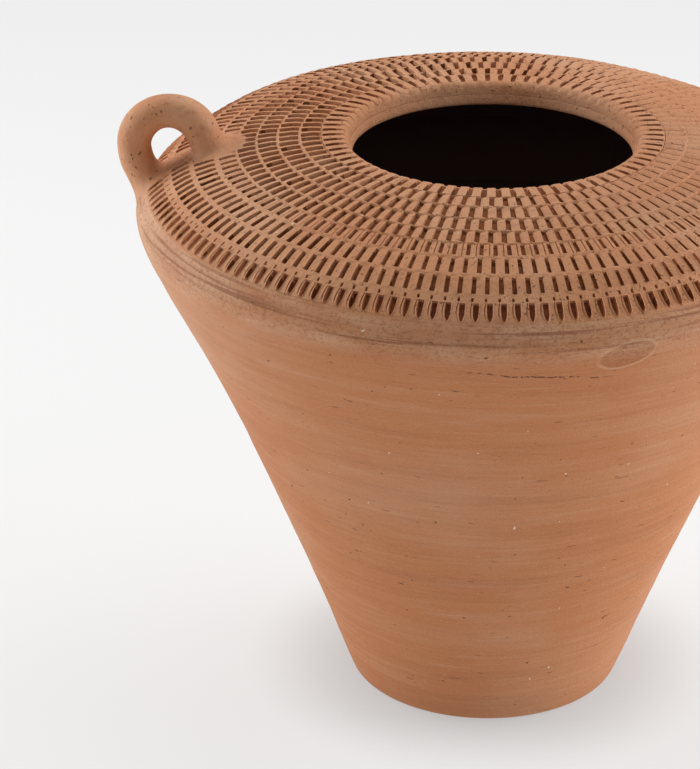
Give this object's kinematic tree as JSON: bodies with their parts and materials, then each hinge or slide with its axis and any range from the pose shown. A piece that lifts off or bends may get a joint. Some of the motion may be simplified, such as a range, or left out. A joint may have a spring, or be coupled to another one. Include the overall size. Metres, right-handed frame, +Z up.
{
  "type": "terracotta jar planter",
  "caption": "Unglazed terracotta floor jar planter with a closed-in stamped shoulder, a round mouth and lug handles.",
  "frame": {"origin": "centre of the underside, on the jar's axis", "axes": "+Z up along the jar's axis, the two handles stand on the X axis, -Y is the front"},
  "size_m": [0.5284, 0.5, 0.4414],
  "materials": {
    "terracotta": "unglazed, matt",
    "stamped_terracotta": "unglazed, matt, roller-stamped",
    "handle_terracotta": "unglazed, matt, smoothed by hand"
  },
  "bodies": {
    "root": {"floor_slab": "terracotta", "foot_wall": "terracotta", "body_wall": "terracotta", "belly_wall": "terracotta", "shoulder": "stamped_terracotta", "mouth_lip": "stamped_terracotta", "handle_left": "handle_terracotta", "handle_right": "handle_terracotta"}
  },
  "joints": []
}
